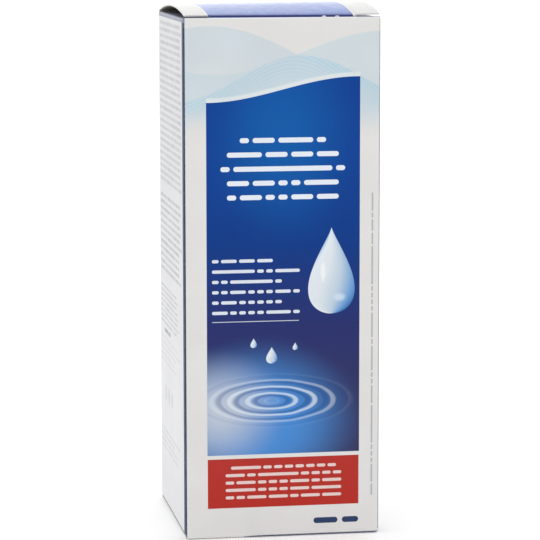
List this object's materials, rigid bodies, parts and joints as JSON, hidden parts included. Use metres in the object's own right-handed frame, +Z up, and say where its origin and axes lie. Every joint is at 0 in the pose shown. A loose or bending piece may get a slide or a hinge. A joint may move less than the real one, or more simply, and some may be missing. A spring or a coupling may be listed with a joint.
{
  "type": "boxed lens solution bottle",
  "caption": "Upright tuck-end paperboard carton holding an oval squeeze bottle of lens solution with a dropper insert, screw cap, tamper band, labels and folded leaflet.",
  "frame": {"origin": "middle of the footprint, on the plane the carton stands on", "axes": "+Z up along the carton's height, -Y out of the printed front panel, +X to the right of somebody looking at the front"},
  "size_m": [0.0702, 0.0702, 0.1901],
  "materials": {
    "printed_board": "satin",
    "plain_board": "matte",
    "bottle_plastic": "satin",
    "insert_plastic": "satin",
    "cap_plastic": "satin",
    "label_film": "gloss",
    "liquid": "gloss",
    "leaflet_paper": "matte"
  },
  "bodies": {
    "carton": {"carton_front_panel": "printed_board", "carton_back_panel": "printed_board", "carton_left_panel": "printed_board", "carton_right_panel": "printed_board", "carton_glue_flap": "plain_board"},
    "top_lid": {"top_lid": "printed_board"},
    "top_tuck": {"top_tuck_flap": "printed_board"},
    "top_left_dust": {"top_left_dust_flap": "plain_board"},
    "top_right_dust": {"top_right_dust_flap": "plain_board"},
    "bottom_lid": {"bottom_lid": "printed_board"},
    "bottom_tuck": {"bottom_tuck_flap": "printed_board"},
    "bottom_left_dust": {"bottom_left_dust_flap": "plain_board"},
    "bottom_right_dust": {"bottom_right_dust_flap": "plain_board"},
    "bottle": {"bottle_body": "bottle_plastic", "dropper_insert": "insert_plastic", "bottle_front_label": "label_film", "bottle_back_label": "label_film", "solution": "liquid"},
    "tamper_band": {"tamper_band": "cap_plastic"},
    "cap": {"screw_cap": "cap_plastic"},
    "leaflet": {"leaflet": "leaflet_paper"}
  },
  "joints": [
    {"name": "bottle_lift", "type": "slide", "parent": "carton", "child": "bottle", "axis": [0, 0, 1], "range_m": [0, 0.1]},
    {"name": "top_lid_hinge", "type": "hinge", "parent": "carton", "child": "top_lid", "pos_m": [0, 0.0351, 0.1867], "axis": [-1, 0, 0], "range_deg": [0, 220]},
    {"name": "top_tuck_fold", "type": "hinge", "parent": "top_lid", "child": "top_tuck", "pos_m": [0, -0.03452, 0.18653], "axis": [-1, 0, 0], "range_deg": [0, 22]},
    {"name": "top_left_dust_fold", "type": "hinge", "parent": "carton", "child": "top_left_dust", "pos_m": [-0.0351, 0, 0.1857], "axis": [0, -1, 0], "range_deg": [0, 150]},
    {"name": "top_right_dust_fold", "type": "hinge", "parent": "carton", "child": "top_right_dust", "pos_m": [0.0351, 0, 0.1857], "axis": [0, 1, 0], "range_deg": [0, 150]},
    {"name": "leaflet_lift", "type": "slide", "parent": "carton", "child": "leaflet", "axis": [0, 0, 1], "range_m": [0, 0.075]},
    {"name": "bottom_lid_hinge", "type": "hinge", "parent": "carton", "child": "bottom_lid", "pos_m": [0, -0.0351, 0], "axis": [-1, 0, 0], "range_deg": [0, 200]},
    {"name": "bottom_tuck_fold", "type": "hinge", "parent": "bottom_lid", "child": "bottom_tuck", "pos_m": [0, 0.03452, 0], "axis": [-1, 0, 0], "range_deg": [0, 20]},
    {"name": "bottom_left_dust_fold", "type": "hinge", "parent": "carton", "child": "bottom_left_dust", "pos_m": [-0.0351, 0, 0.001], "axis": [0, 1, 0], "range_deg": [0, 136]},
    {"name": "bottom_right_dust_fold", "type": "hinge", "parent": "carton", "child": "bottom_right_dust", "pos_m": [0.0351, 0, 0.001], "axis": [0, -1, 0], "range_deg": [0, 136]},
    {"name": "cap_turn", "type": "hinge", "parent": "bottle", "child": "tamper_band", "pos_m": [0, 0, 0.15], "axis": [0, 0, 1], "range_deg": [0, 720]},
    {"name": "cap_climb", "type": "slide", "parent": "tamper_band", "child": "cap", "axis": [0, 0, 1], "range_m": [0, 0.006]}
  ],
  "couplings": [
    {"joint": "top_lid_hinge", "follows": "bottle_lift", "rad_per_m": 38.397},
    {"joint": "top_tuck_fold", "follows": "bottle_lift", "rad_per_m": 3.8397},
    {"joint": "top_left_dust_fold", "follows": "bottle_lift", "rad_per_m": 26.18},
    {"joint": "top_right_dust_fold", "follows": "bottle_lift", "rad_per_m": 26.18},
    {"joint": "leaflet_lift", "follows": "bottle_lift", "ratio": 0.75},
    {"joint": "bottom_tuck_fold", "follows": "bottom_lid_hinge", "ratio": 0.1},
    {"joint": "bottom_left_dust_fold", "follows": "bottom_lid_hinge", "ratio": 0.68},
    {"joint": "bottom_right_dust_fold", "follows": "bottom_lid_hinge", "ratio": 0.68},
    {"joint": "cap_climb", "follows": "cap_turn", "m_per_rad": 0.00047746}
  ]
}
